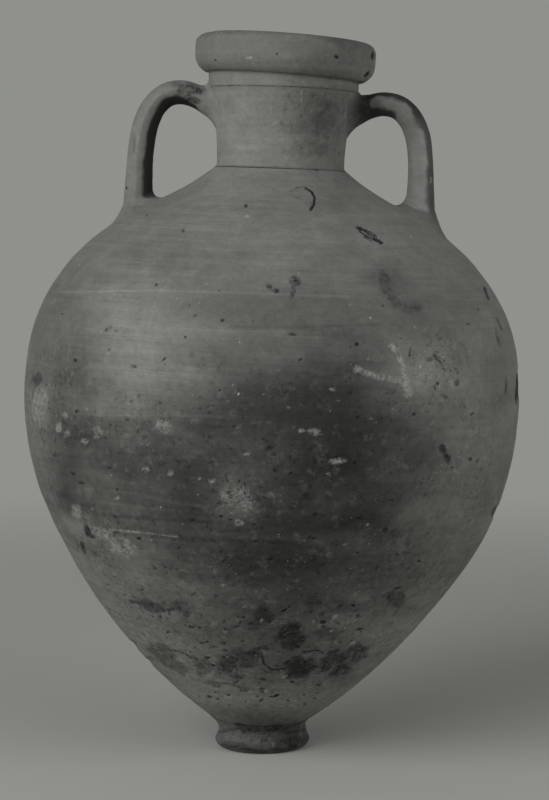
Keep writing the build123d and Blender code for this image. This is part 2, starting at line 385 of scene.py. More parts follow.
# Soft changes of tone: x, y, half width, half height, turn, tone
STAINS = (
    # The dark cloud from the fire
    (315, 470, 175, 95, 6, 0.62), (340, 440, 95, 70, -10, 0.66), (250, 415, 85, 34, 4, 0.74),
    (300, 545, 120, 42, 0, 0.66), (345, 505, 70, 50, 0, 0.86), (200, 500, 110, 60, 10, 0.78),
    (90, 450, 40, 62, 10, 0.72), (150, 580, 90, 40, 25, 0.84), (265, 640, 100, 60, 0, 0.84),
    # The foot, darker all round
    (262, 742, 70, 26, 0, 0.44),
    # Patches of the upper wall, the neck and the rim
    (330, 160, 30, 40, 0, 0.92), (322, 110, 24, 44, 10, 0.72), (210, 240, 130, 60, 0, 0.88),
    # The first patch of the next line darkens the jar's left edge: painted shade
    (48, 330, 34, 70, 0, 0.74), (285, 50, 100, 26, 2, 0.82), (120, 340, 34, 52, 15, 1.16),
    (150, 322, 40, 22, 0, 1.08), (101, 388, 26, 34, 20, 1.16), (135, 400, 16, 20, 20, 1.14),
    (135, 260, 10, 16, 10, 0.9), (165, 262, 8, 14, 0, 0.9), (407, 372, 30, 30, 0, 1.25),
    (430, 375, 24, 26, 0, 1.1), (470, 400, 40, 60, 0, 1.08), (312, 392, 40, 26, 0, 0.86),
    # Lighter worn patches
    (42, 405, 7, 20, 0, 1.3), (235, 490, 34, 28, 0, 1.42), (232, 520, 24, 18, 0, 1.2),
    (312, 440, 22, 16, 0, 1.2), (100, 600, 30, 40, 30, 1.12), (392, 625, 30, 22, -30, 1.1),
    (160, 630, 40, 20, 30, 1.12), (165, 425, 16, 7, 20, 1.3), (384, 275, 12, 16, 20, 0.84),
    # The fire's grey over the middle, and the paler sides
    (300, 440, 150, 150, 0, 0.66), (330, 420, 50, 80, 0, 0.76), (345, 435, 20, 50, 0, 0.78),
    (250, 590, 110, 70, 0, 0.74), (270, 590, 50, 60, 0, 0.8), (250, 556, 50, 12, 0, 0.84),
    (180, 490, 70, 50, 0, 0.74), (195, 480, 22, 26, 0, 0.72), (245, 405, 26, 16, 0, 0.8),
    # The first patch of the next line darkens the jar's left edge: painted shade
    (60, 440, 50, 90, 0, 0.74), (72, 435, 18, 50, 5, 0.72), (105, 520, 20, 40, -20, 0.86),
    (378, 515, 20, 24, 0, 0.78), (180, 380, 50, 40, 10, 1.22), (195, 380, 16, 20, 0, 1.12),
    (288, 362, 20, 24, 0, 1.14), (240, 497, 30, 18, 0, 1.18), (325, 498, 34, 14, 0, 1.22),
    (430, 400, 50, 60, 0, 1.22), (440, 500, 40, 60, 0, 1.22), (475, 450, 26, 50, 0, 1.14),
    (285, 650, 50, 25, 0, 0.84), (190, 640, 50, 26, 20, 1.12), (200, 690, 40, 30, 0, 1.12),
    (150, 437, 60, 16, 3, 0.8), (220, 437, 30, 12, 0, 0.88), (315, 440, 50, 26, 0, 0.74),
    (330, 466, 34, 22, 0, 0.74), (400, 447, 45, 26, 0, 0.78), (72, 468, 16, 26, 15, 0.74),
    (72, 500, 14, 20, 15, 0.84), (150, 497, 56, 18, 4, 0.7), (252, 503, 26, 20, 0, 1.3),
    (135, 528, 20, 12, 10, 0.8), (358, 527, 26, 14, 0, 0.7), (285, 560, 75, 20, 0, 0.78),
    (135, 556, 18, 12, 20, 0.86), (295, 590, 65, 20, 0, 0.74), (255, 618, 50, 14, 0, 0.8),
    (392, 613, 26, 14, -20, 0.78), (285, 648, 50, 18, 0, 0.78), (358, 648, 20, 12, -20, 0.88),
    (290, 676, 50, 12, 0, 0.84), (343, 677, 14, 10, -20, 0.72), (330, 405, 26, 12, 0, 0.78),
    (495, 380, 16, 40, 8, 0.8),
    # The shoulder, the neck, the rim and the foot
    (265, 345, 70, 18, 0, 0.86), (270, 305, 50, 22, 0, 0.88), (430, 290, 40, 16, 10, 0.92),
    (368, 104, 12, 18, 0, 0.72), (370, 108, 10, 15, 0, 0.66), (375, 310, 70, 40, 0, 0.84),
    (435, 315, 40, 20, 10, 0.84), (96, 345, 26, 30, 0, 0.85), (230, 222, 90, 22, 0, 1.12),
    (300, 255, 36, 16, 0, 1.1), (225, 150, 36, 70, 0, 1.18), (312, 115, 24, 40, 0, 0.82),
    # From the last patch of the next line to the middle of the one after: painted shade on the foot's right
    # side and a painted contact shadow along its lower edge
    (345, 190, 14, 30, 0, 0.88), (330, 45, 50, 22, 5, 0.86), (285, 738, 26, 14, 0, 0.66),
    (294, 737, 15, 13, 0, 0.66), (262, 748, 50, 3, 0, 0.66), (250, 740, 22, 7, 0, 1.12),
)
# Sharp-edged marks: x, y, half width, half height, turn, how dark (below 0: how pale), depth in millimetres
SPOTS = (
    # Spalls and dark patches near the foot
    (150, 608, 15, 5, 20, 0.5, 0.9), (178, 608, 8, 7, 0, 0.4, 0.9), (186, 614, 5, 6, 0, 0.45, 0.8),
    (163, 655, 15, 9, 30, 0.55, 1), (178, 668, 12, 6, 35, 0.4, 0.8), (204, 668, 10, 7, 35, 0.45, 0.8),
    (236, 664, 20, 13, -18, 0.7, 1), (254, 655, 7, 7, 0, 0.75, 1), (262, 617, 11, 8, -10, 0.62, 1),
    (291, 638, 14, 13, 0, 0.8, 1.4), (327, 635, 10, 7, -10, 0.45, 0.9), (312, 603, 8, 9, 20, 0.4, 0.7),
    (299, 668, 18, 11, -4, 0.85, 1.4), (336, 664, 15, 14, -24, 0.75, 1.4),
    (356, 655, 12, 9, -24, 0.72, 1.2), (395, 600, 11, 8, -15, 0.55, 0.9), (262, 689, 3, 1.5, 0, 0.6, 0.5),
    (276, 696, 4, 1.3, -25, 0.95, 0.8), (214, 685, 8, 3, 15, 0.45, 0.6), (245, 690, 5, 2, 0, 0.55, 0.5),
    # The foot
    (268, 730, 16, 4, -4, 0.65, 0.6), (244, 729, 9, 4, 20, 0.6, 0.8), (236, 745, 14, 3, 8, 0.35, 0.3),
    (290, 742, 14, 5, -8, 0.45, 0.4),
    # The wall
    (443, 449, 3.5, 5, -20, 0.9, 1), (447, 458, 3, 6, -25, 0.75, 0.8), (394, 540, 15, 14, 0, -0.1, 0.6),
    (384, 531, 3.5, 3, -20, 0.95, 1), (397, 535, 10, 6, 0, 0.28, 0.9), (407, 540, 3, 11, 15, 0.35, 0.9),
    (270, 286, 5, 3, 30, 0.5, 0.4), (276, 290, 3, 2.5, 0, 0.6, 0.4), (295, 280, 6, 4.5, 10, 0.7, 0.5),
    (293, 290, 2.5, 8, 5, 0.4, 0.2), (309, 497, 6, 4, 0, 0.5, 0.4), (36, 380, 5, 7, 20, 0.55, 0.6),
    (58, 427, 3, 5, 0, -0.6, 0.4), (65, 415, 3, 3, 0, -0.4, 0.3), (75, 512, 5, 7, -10, -0.55, 0.4),
    (118, 546, 14, 9, 25, -0.36, 0.6), (100, 534, 9, 5, 0, -0.34, 0.6),
    # Crust and flaked places on the wall
    (226, 482, 12, 12, 0, -0.21, 0), (238, 498, 16, 13, 20, -0.29, 0), (232, 518, 11, 8, 0, -0.21, 0),
    (247, 510, 8, 10, 0, -0.22, 0), (39, 404, 7, 17, 8, -0.3, 0.3), (163, 427, 9, 6, 30, -0.3, 0.3),
    (97, 432, 5, 6, 0, -0.28, 0), (67, 434, 3, 3, 0, -0.36, 0), (84, 442, 4, 3, 0, -0.4, 0),
    (145, 470, 4, 3, 0, -0.32, 0), (170, 473, 3, 3, 0, -0.32, 0), (238, 523, 4, 3, 0, -0.4, 0),
    (212, 481, 4, 2, 0, -0.4, 0), (114, 536, 3.5, 5, 0, 0.55, 0.6), (85, 532, 2.5, 6, -20, 0.9, 1),
    (89, 537, 4, 2, 20, 0.8, 0.8), (80, 548, 1.8, 6, -15, 0.7, 0.8), (430, 360, 3, 2, 0, 0.6, 0.6),
    (436, 357, 2, 4, -30, 0.65, 0.6), (457, 383, 2.5, 3, 0, 0.65, 0.6), (444, 396, 4, 2, 20, 0.4, 0.4),
    (314, 432, 8, 3, 8, -0.36, 0), (302, 431, 3, 2.2, 0, -0.55, 0), (337, 461, 8, 3.5, -4, -0.46, 0),
    (325, 447, 6, 5, 30, -0.24, 0), (340, 446, 4, 2, 0, -0.25, 0), (270, 448, 5, 2, -20, 0.5, 0.3),
    (156, 284, 1.6, 1.6, 0, 0.95, 0.8), (185, 337, 1.2, 1.2, 0, 0.8, 0.6),
    (76, 220, 1.4, 1.4, 0, 0.8, 0.6), (355, 463, 1.4, 1.4, 0, 0.9, 0.6),
    (470, 459, 1.6, 1.6, 0, 0.95, 0.6), (246, 205, 1.4, 2, 0, 0.85, 0.6),
    (116, 490, 1.4, 1.4, 0, 0.9, 0.6), (110, 425, 1.2, 1.2, 0, 0.9, 0.6),
    (275, 471, 1.5, 2.2, -20, 0.9, 0.6), (183, 230, 1.4, 1.8, 0, 0.6, 0.4),
    (147, 215, 1.2, 1.2, 0, 0.6, 0.4), (302, 93, 0.9, 2.4, 0, -0.6, 0), (302, 101, 0.9, 1.2, 0, -0.5, 0),
    (247, 216, 1.8, 1.4, 0, -0.6, 0), (224, 243, 1.8, 1.4, 0, -0.45, 0), (412, 236, 1.5, 1.5, 0, -0.6, 0),
    (431, 180, 1.3, 3, 0, -0.5, 0),
    # The rim
    (277, 54, 1.3, 1.1, 0, 0.85, 0.8), (350, 43, 22, 7, 8, 0.22, 0), (330, 38, 14, 4, 6, 0.16, 0),
    (324, 122, 9, 16, 10, 0.22, 0), (328, 106, 10, 5, 0, 0.18, 0), (296, 128, 12, 7, 0, 0.1, 0),
    (323, 150, 7, 6, 0, 0.16, 0), (224, 93, 10, 5, 0, -0.08, 0), (245, 147, 12, 3, 0, -0.1, 0),
    # The left handle's crown
    (182, 89, 4, 5, 0, 0.55, 0), (190, 88, 6, 5, 10, 0.6, 0), (198, 90, 5, 4, 20, 0.6, 0),
    (188, 99, 5, 4, 0, 0.6, 0), (196, 101, 4, 3, 30, 0.5, 0), (176, 84, 5, 3, 0, 0.24, 0),
    (134, 146, 1.6, 11, 3, 0.24, 0), (134, 208, 8, 3, 0, 0.1, 0), (337, 57, 2.6, 1.5, 30, 0.85, 0.8),
    (215, 61, 1.4, 1.2, 0, 0.6, 0.4), (249, 58, 3, 1, 0, -0.7, 0.2), (312, 30, 6, 3, 0, 0.3, 0.2),
)
# Fainter marks than this only change the tone
FAINT = 0.27
# Marks on the outline itself, which wrap round out of sight
EDGE_SPOTS = (
    (206, 33, 10, 3, -20, 0.1, 0.6), (229, 30, 5, 2, 0, 0.1, 1), (240, 29.5, 3, 1.5, 0, 0.1, 0.7),
    (373.5, 55.5, 1.6, 4.6, 0, 1, 1.2), (367.2, 75.5, 1.6, 4, 38, 1, 1.2),
    (518, 388, 2, 17, 3, 0.95, 1.2), (126.4, 188, 0.9, 1.6, 0, 0.95, 0.6), (494, 512, 4, 6, 30, 0.6, 0.9),
    (498, 338, 1.5, 9, -15, 0.45, 0.4), (506, 385, 1.2, 9, 5, 0.5, 0.4), (133, 645, 5, 3, 40, 0.3, 1),
    (150, 660, 4, 3, 40, 0.3, 1),
)
# Strokes: points, half width, how dark or pale, depth in millimetres
STROKES = (
    # A gouge of short scratches side by side
    (((358, 227), (367, 230), (372, 236)), 1.7, 0.95, 1),
    (((361, 230), (370, 236), (382, 242)), 1.7, 1, 1),
    (((366, 229), (377, 236)), 1.2, 0.75, 0.6),
    (((365, 236), (372, 240)), 1.2, 0.75, 0.5),
    (((362, 230), (373, 237)), 0.5, -0.55, 0),
    (((369, 238), (379, 242)), 0.5, -0.45, 0),
    # A bent nick
    (((292, 190), (297, 187), (304, 186)), 0.9, 0.35, 0.4),
    (((306, 187), (312, 191), (315, 197), (314, 204), (311, 209)), 1.3, 0.95, 0.8),
    (((296, 196), (303, 199)), 0.9, 0.2, 0.3),
    # Smudges and scrapes
    (((384, 272), (387, 288), (396, 302), (408, 309), (418, 307)), 5, 0.3, 0),
    (((392, 346), (398, 354), (403, 366), (407, 386), (406, 394)), 2.6, -0.5, 0),
    (((356, 369), (372, 375), (390, 379), (404, 381)), 2.8, -0.45, 0),
    (((404, 380), (408, 392)), 4.5, -0.45, 0),
    (((411, 348), (410, 356)), 1, 0.6, 0.3),
    (((84, 489), (130, 493), (160, 500), (205, 507)), 1.8, -0.2, 0),
    (((98, 502), (150, 509), (180, 511)), 1.5, -0.2, 0),
    (((92, 529), (130, 532), (176, 537)), 1, -0.42, 0),
    (((150, 536), (200, 540), (290, 543)), 2.2, 0.35, 0),
    (((100, 515), (160, 520), (210, 522)), 2, 0.25, 0),
    (((262, 654), (264, 664), (272, 670), (284, 670)), 1.1, 0.8, 0.6),
    (((303, 652), (318, 651), (324, 654)), 1, 0.75, 0.5),
    (((130, 603), (146, 606), (162, 612), (178, 610)), 1.8, 0.6, 0.7),
    (((178, 583), (190, 590), (198, 606)), 3, -0.16, 0.4),
    (((60, 292), (150, 290), (262, 293), (350, 296)), 0.9, -0.24, 0),
    (((90, 366), (200, 369), (330, 371)), 2.2, -0.12, 0),
    (((96, 415), (190, 416), (262, 417)), 0.8, -0.22, 0),
    (((280, 417), (360, 416)), 0.8, -0.14, 0),
    (((120, 326), (240, 331), (330, 332)), 1.4, -0.1, 0),
    (((230, 326), (300, 327), (380, 324)), 1.3, 0.14, 0),
    (((485, 288), (489, 298)), 1.3, 0.8, 0.6),
    (((497, 318), (502, 330)), 0.8, 0.6, 0.3),
    (((436, 357), (442, 364)), 0.9, 0.7, 0.4),
    (((300, 500), (306, 494), (313, 496)), 1.2, 0.4, 0),
    (((158, 650), (180, 652), (196, 660)), 1.2, 0.5, 0.5),
    (((208, 684), (228, 684), (250, 690)), 1.2, 0.45, 0.4),
    (((218, 732), (250, 728), (290, 733), (306, 730)), 1.3, 0.45, 0.3),
    # A painted contact shadow along the foot's lower edge
    (((222, 745), (262, 752), (300, 746)), 1.5, 0.55, 0),
)
# Gritty, pitted or encrusted places: x, y, half width, half height, turn, how gritty
GRIT = (
    (290, 480, 230, 110, 0, 0.55), (262, 620, 190, 90, 0, 0.75), (262, 735, 60, 40, 0, 0.8),
    (230, 500, 34, 40, 0, 1), (432, 378, 26, 28, 0, 1), (50, 410, 30, 50, 0, 0.8),
    (110, 530, 40, 30, 0, 0.9), (160, 610, 40, 30, 0, 0.9), (320, 110, 40, 50, 0, 0.45),
    (330, 445, 40, 26, 0, 0.6), (395, 540, 22, 22, 0, 0.8), (120, 430, 60, 40, 0, 0.7),
)


class Marked:
    """Points of the outer face with their places in one view, and what the marks do to them."""

    def __init__(self, points, normals, mirrored, edge):
        self.x, self.y = photo_places(points, mirrored)
        low, high = (-0.45, -0.25) if edge else (0.0, 0.12)
        self.seen = smooth_step(low, high, facing(points, normals, mirrored))

    def near(self, x, y, reach):
        return np.flatnonzero((np.abs(self.x - x) < reach) & (np.abs(self.y - y) < reach) & (self.seen > 0))

    def oval(self, x, y, half_width, half_height, turn, edge, wobble):
        """Which points an oval with a soft uneven edge reaches, and how much: 1 inside it, 0 outside."""
        here = self.near(x, y, 2.2 * max(half_width, half_height))
        c, s = math.cos(math.radians(turn)), math.sin(math.radians(turn))
        across, down = self.x[here] - x, self.y[here] - y
        size = np.hypot((across * c + down * s) / half_width, (down * c - across * s) / half_height)
        return here, self.seen[here] * (1 - smooth_step(1 - edge, 1 + edge, size + wobble[here]))

    def stroke(self, path, half_width, wobble):
        """Which points a stroke along a path reaches, and how much."""
        (x, y), *_, (x1, y1) = path
        here = self.near((x + x1) / 2, (y + y1) / 2, max(abs(x1 - x), abs(y1 - y)) + 4 * half_width + 8)
        nearest = np.full(len(here), 1e9)
        for (x0, y0), (x1, y1) in zip(path, path[1:]):
            length = (x1 - x0) ** 2 + (y1 - y0) ** 2
            across, down = self.x[here] - x0, self.y[here] - y0
            t = np.clip((across * (x1 - x0) + down * (y1 - y0)) / length, 0, 1)
            nearest = np.minimum(nearest, np.hypot(across - t * (x1 - x0), down - t * (y1 - y0)))
        return here, self.seen[here] * (1 - smooth_step(0.4, 1.5, nearest / half_width + wobble[here]))


def half_at(y, taper):
    """About half the jar's width in the photograph's row y."""
    return JAR_HALF if y < TAPER_ROW else JAR_HALF - (y - TAPER_ROW) * taper


def back_marks():
    """Stains, spots and grit for the side that the photograph doesn't show, as if seen from behind."""
    rng = np.random.default_rng(11)
    stains = [(330, 470, 150, 80, -8, 0.66), (230, 430, 90, 50, 5, 0.76), (262, 742, 70, 26, 0, 0.44)]
    spots, grit = [], [(262, 640, 220, 120, 0, 0.8), (300, 470, 200, 90, 0, 0.5)]
    for _ in range(34):
        y = rng.uniform(200, 690)
        x = IMAGE_WIDTH / 2 + rng.uniform(-0.9, 0.9) * half_at(y, 0.75)
        size = rng.uniform(12, 70)
        oval = (x, y, size, size * rng.uniform(0.3, 0.8), rng.uniform(-20, 20))
        stains.append((*oval, rng.uniform(0.74, 1.25)))
    for _ in range(70):
        low = rng.random() < 0.4
        y = rng.uniform(585, 690) if low else rng.uniform(210, 690)
        x = IMAGE_WIDTH / 2 + rng.uniform(-0.85, 0.85) * half_at(y, 0.75)
        size = rng.uniform(4, 18) if low else rng.uniform(1.3, 6)
        strength = rng.uniform(0.4, 0.9) * (1 if rng.random() < 0.75 else -0.6)
        depth = rng.uniform(0.4, 1.2) if strength > 0 else 0.0
        spots.append((x, y, size, size * rng.uniform(0.4, 0.9), rng.uniform(-40, 40), strength, depth))
    strokes = []
    for _ in range(9):
        x, y = rng.uniform(120, 380), rng.uniform(280, 560)
        length = rng.uniform(40, 120)
        path = ((x, y), (x + length / 2, y + rng.uniform(-2, 4)), (x + length, y + rng.uniform(-1, 8)))
        strokes.append((path, rng.uniform(0.9, 2.2), rng.uniform(-0.4, 0.3), 0.0))
    return stains, spots, (), strokes, grit


def small_marks():
    """Small pits and flecks on the front, thickest near the foot."""
    rng = np.random.default_rng(7)
    spots = []
    for _ in range(220):
        y = rng.uniform(590, 705) if rng.random() < 0.5 else rng.uniform(300, 600)
        x, size = JAR_MIDDLE + rng.uniform(-0.92, 0.92) * half_at(y, 0.8), rng.uniform(0.9, 2.0)
        strength = rng.uniform(0.45, 0.95) * (1 if rng.random() < 0.72 else -0.5)
        oval = (x, y, size * rng.uniform(0.9, 2.2), size * 0.8, rng.uniform(-40, 30))
        spots.append((*oval, strength, 0.5 if strength > 0 else 0.0))
    return tuple(spots)


FRONT_MARKS = (STAINS, SPOTS + small_marks(), EDGE_SPOTS, STROKES, GRIT)
VIEWS = ((False, FRONT_MARKS), (True, back_marks()))


def clay_field(points, normals):
    """The clay's tone, dark marks, pale marks and grit at points of the face, and how deep its marks are."""
    tone, dark, pale, grit, depth = np.ones(len(points)), *np.zeros((4, len(points)))
    soft = rough_noise(points, (0.060, 0.060, 0.024), 4, 3)
    crisp = rough_noise(points, 0.0085, 3, 5)
    blotchy = 1 - 0.45 * smooth_step(0.05, 0.55, rough_noise(points, 0.0055, 3, 6))
    for mirrored, (stains, spots, edge_spots, strokes, gritty) in VIEWS:
        view = Marked(points, normals, mirrored, False)
        rim_view = Marked(points, normals, mirrored, True)
        for *place, change in stains:
            here, mask = view.oval(*place, 0.8 if place[2] > 14 else 0.5, 0.35 * soft + 0.12 * crisp)
            tone[here] *= change**mask
        for *place, amount in gritty:
            here, mask = view.oval(*place, 0.6, 0.7 * soft + 0.2 * crisp)
            grit[here] = np.maximum(grit[here], amount * mask)
        shapes = [view.oval(*spot[:5], 0.35, 0.45 * crisp) + spot[5:] + (spot[2] > 4.5,) for spot in spots]
        shapes += [rim_view.oval(*spot[:5], 0.3, 0.3 * crisp) + spot[5:] + (False,) for spot in edge_spots]
        for path, width, *marks in strokes:
            shapes.append(view.stroke(path, width, 0.35 * crisp) + (*marks, False))
        for here, mask, amount, hollow, patchy in shapes:
            if abs(amount) < FAINT:
                tone[here] *= 1 - 1.2 * amount * mask
            else:
                layer = dark if amount > 0 else pale
                layer[here] = np.maximum(layer[here], abs(amount) * mask * (blotchy[here] if patchy else 1))
            depth[here] = np.maximum(depth[here], MILLIMETRE * hollow * mask * (1 + 0.5 * crisp[here]))
    return tone, dark, pale, grit, depth


def bump_at(points, height, half, size):
    """A rise of a given size round one height, that dies away in about its half height."""
    return size * np.exp(-(((points[:, 2] - height) / half) ** 2))


def sculpted(points, normals, skin):
    """Points moved to the jar's uneven real surface, and its layers there.

    skin is 1 on the outer face and 0 inside, where only the slow bends and swells act.
    """
    tone, dark, pale, grit, depth = clay_field(points, normals)
    swell = sum(size * noise(points, width, seed) for size, width, seed in SWELLS) + SWELL_BIAS
    swell += bump_at(points, *SHOULDER_SWELL)
    wheel = sum(size * noise(points, width, seed) for size, width, seed in WHEEL_LINES)
    grain = GRAIN_HEIGHT * rough_noise(points, 0.0050, 3, 41)
    hollows = pits(points, 0.018, 0.30, 0.0020, 51)
    craters = pits(points, 0.030, 0.30, 0.0050, 61)
    crust = rough_noise(points, 0.0075, 3, 71)
    move = wheel * (1 - 0.4 * grit) + grain * (1 + 2 * grit)
    move -= depth + HOLLOW_DEPTH * hollows * (0.3 + grit) + CRATER_DEPTH * craters * grit
    move += CRUST_HEIGHT * crust * smooth_step(0.85, 1.0, grit)
    move = swell + skin * move
    streak = noise(points, (0.40, 0.40, 0.0038), 81) * 0.6 + noise(points, (0.25, 0.25, 0.010), 82)
    cloud = rough_noise(points, 0.085, 4, 91)
    mottle = rough_noise(points, 0.018, 3, 92)
    tone = tone * (1 + 0.04 * streak + 0.08 * cloud + (0.05 + 0.08 * grit) * mottle)
    dark = np.maximum(dark, hollows * (0.2 + 0.6 * grit) + 0.35 * craters * grit)
    pale = np.maximum(pale, 0.11 * grit * smooth_step(0.1, 0.5, crust))
    layers = {"tone": tone, "dark": dark, "pale": pale, "grit": grit}
    points = points + normals * move[:, None]
    shift = sum(bump_at(points, *bend) for bend in SIDE_BENDS)
    return points + np.outer(shift, (1, 0, 0)), layers


# Meshes


def column_angles(count):
    """Angles round the jar, closest together at the front, which faces -Y."""
    angle = np.linspace(-math.pi, math.pi, 4001)
    width = 1 + (BACK_TO_FRONT - 1) * (1 - np.cos(angle)) / 2
    share = np.concatenate([[0], np.cumsum((1 / width)[:-1])])
    share /= share[-1]
    return np.interp(np.arange(count) / count, share, angle) - math.pi / 2


def new_piece(points, faces, layers, material, *nodes):
    """Adds an object with the clay's layers as attributes, that replaces some nodes and rides on the body."""
    name = nodes[0] + "_clay"
    mesh = bpy.data.meshes.new(name)
    mesh.from_pydata(points.tolist(), [], faces)
    for layer, values in layers.items():
        attribute = mesh.attributes.new(layer, "FLOAT", "POINT")
        attribute.data.foreach_set("value", values.astype(np.float32))
    work = bmesh.new()
    work.from_mesh(mesh)
    bmesh.ops.recalc_face_normals(work, faces=work.faces)
    work.to_mesh(mesh)
    work.free()
    mesh.shade_smooth()
    mesh.set_sharp_from_angle(angle=SHARP_ANGLE)
    mesh.materials.append(material)
    piece = bpy.data.objects.new(name, mesh)
    bpy.context.scene.collection.objects.link(piece)
    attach(piece, "root")
    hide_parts(*nodes)


def ring_faces(rows, columns, closed, first_pole, last_pole):
    """Faces of a grid that goes round, with its rows joined in a ring or ended by poles."""
    faces = []
    for j in range(rows if closed else rows - 1):
        low, high = j * columns, (j + 1) % rows * columns
        for i in range(columns):
            k = (i + 1) % columns
            faces.append((low + i, low + k, high + k, high + i))
    pole = rows * columns
    if first_pole:
        faces += [(pole, (i + 1) % columns, i) for i in range(columns)]
        pole += 1
    if last_pole:
        last = (rows - 1) * columns
        faces += [(pole, last + i, last + (i + 1) % columns) for i in range(columns)]
    return faces


def turned_grid(outline, closed, columns):
    """Points and faces of an outline turned about its axis."""
    first_pole = not closed and outline[0, 0] < 1e-6
    last_pole = not closed and outline[-1, 0] < 1e-6
    ring = outline[int(first_pole) : len(outline) - int(last_pole)]
    angle = column_angles(columns)
    circle = np.column_stack([np.cos(angle), np.sin(angle), np.ones(columns)])
    points = (ring[:, None, (0, 0, 1)] * circle).reshape(-1, 3)
    poles = [(0, 0, outline[k, 1]) for k, there in ((0, first_pole), (-1, last_pole)) if there]
    if poles:
        points = np.vstack([points, poles])
    return points, ring_faces(len(ring), columns, closed, first_pole, last_pole)


def body_piece(name, material, columns, skin_step=SKIN_STEP):
    """One turned piece of the body or the neck, with the jar's real surface."""
    chain, closed = TURNED[name]
    outline = finer_outline(chain, closed, skin_step, LINING_STEP)
    columns = min(columns, int(MOST_TRIANGLES / (2 * len(outline))))
    local, faces = turned_grid(outline, closed, columns)
    normals, below = body_normals(local)
    # The neck's top is cut aslant, where the rim sits askew
    band = np.clip((local[:, 2] - BAND_BASE) / (NECK_TOP_HEIGHT - BAND_BASE), 0, 1)
    local[:, 2] -= band * local[:, 0] * math.tan(RIM_TILT)
    points, normals = moved(local, body_matrix()), turned(normals, body_matrix())
    skin = 1 - smooth_step(*SKIN_DEPTHS, below)
    line = np.exp(-(((local[:, 2] - BAND_BASE) / LINE_WIDTH) ** 2)) * skin
    points = points - normals * (LINE_DEPTH * line)[:, None]
    points, layers = sculpted(points, normals, skin)
    layers["dark"] = np.maximum(layers["dark"], LINE_DARK * line)
    new_piece(points, faces, layers, material, name)


def seam_fill(name, matrix, below, above, material):
    """A ring of luting clay smeared out nearly flush with its neighbours, whose radii are given."""
    chain, closed = outline_of(name, matrix, "x")
    outline = finer_outline(chain, closed, FINE_STEP / 2, LINING_STEP)
    reach = outline[:, 0].max()
    skin = outline[:, 0] > reach - 0.0005
    low, high = outline[skin, 1].min(), outline[skin, 1].max()
    share = np.clip((outline[:, 1] - low) / (high - low), 0, 1)
    near = smooth_step(reach - 0.003, reach, outline[:, 0])
    outline[:, 0] += near * (below + (above - below) * share - reach)
    local, faces = turned_grid(outline, closed, NECK_COLUMNS)
    flat = local * (1, 1, 0)
    normals = turned(flat / np.linalg.norm(flat, axis=1)[:, None], matrix)
    points, layers = sculpted(moved(local, matrix), normals, np.full(len(local), SEAM_SKIN))
    layers["tone"] *= SEAM_TONE
    new_piece(points, faces, layers, material, name)


def rim_piece(material):
    """The rim: its surface moves straight out of its own thick section."""
    chain, closed = outline_of("rim", rim_matrix(), "y")
    outline = finer_outline(chain, closed, FINE_STEP, 2 * FINE_STEP)
    local, faces = turned_grid(outline, closed, NECK_COLUMNS)
    middle = (outline.min(0) + outline.max(0)) / 2
    half = np.ptp(outline, axis=0) / 2
    radius = np.hypot(local[:, 0], local[:, 1])
    across, up = (radius - middle[0]) / half[0], (local[:, 2] - middle[1]) / half[1]
    size = np.hypot(across, up)
    flat = local[:, :2] / radius[:, None]
    normals = turned(np.column_stack([flat * (across / size)[:, None], up / size]), rim_matrix())
    skin = smooth_step(0.0, 0.004, local[:, 2])
    inward = across < 0
    normals[inward] = turned(np.column_stack([flat, 0 * up])[inward], rim_matrix())
    skin[inward] = 0
    points, layers = sculpted(moved(local, rim_matrix()), normals, skin)
    new_piece(points, faces, layers, material, "rim")


def foot_pieces(material):
    """The foot, and the wedge of luting clay between the level foot and the leaning body."""
    chain, closed = outline_of("foot", Matrix.Identity(4), "x")
    outline = finer_outline(chain, closed, FINE_STEP, 2 * FINE_STEP)
    waist = outline[outline[:, 1] > FOOT_TOP - 1e-5, 0].max()
    points, faces = turned_grid(outline, closed, FOOT_COLUMNS)
    flat = points * (1, 1, 0)
    radius = np.linalg.norm(flat, axis=1)
    normals = flat / np.maximum(radius, 1e-9)[:, None]
    outer = smooth_step(0.035, 0.041, radius) * smooth_step(0.0, 0.003, points[:, 2])
    resting = points[:, 2].copy()
    points, layers = sculpted(points + normals * (FOOT_SWELL * outer)[:, None], normals, outer)
    points[:, 2] = resting
    new_piece(points, faces, layers, material, "foot")

    angle = column_angles(FOOT_COLUMNS)
    base = TURNED["base_section"][0]
    base_radius = base[base[:, 1] < 1e-5, 0].max()
    circle = np.column_stack([np.cos(angle), np.sin(angle), np.zeros(len(angle))])
    low = circle * waist + (0, 0, FOOT_TOP)
    high = moved(circle * base_radius, body_matrix())
    beside = outline[np.abs(outline[:, 1] - FOOT_TOP + FOOT_FILLET) < FINE_STEP, 0].max()
    start = circle * (beside + FOOT_SWELL + FILLET_SKIN) + (0, 0, FOOT_TOP - FOOT_FILLET)
    end = circle * (outer_radius(np.array([FOOT_FILLET]))[0] + FILLET_SKIN) + (0, 0, FOOT_FILLET)
    end, crease = moved(end, body_matrix()), (low + high) / 2
    inner = 0.6
    rows = [low * (inner, inner, 1), start * (0.97, 0.97, 1)]
    for t in np.linspace(0, 1, FILLET_ROWS):
        rows.append(start * (1 - t) ** 2 + crease * 2 * t * (1 - t) + end * t**2)
    rows += [end * (0.95, 0.95, 1), moved(circle * base_radius * inner, body_matrix())]
    points = np.vstack(rows)
    flat = points * (1, 1, 0)
    normals = flat / np.linalg.norm(flat, axis=1)[:, None]
    points, layers = sculpted(points, normals, np.ones(len(points)))
    faces = ring_faces(len(rows), FOOT_COLUMNS, True, False, False)
    new_piece(points, faces, layers, material, "foot_luting")


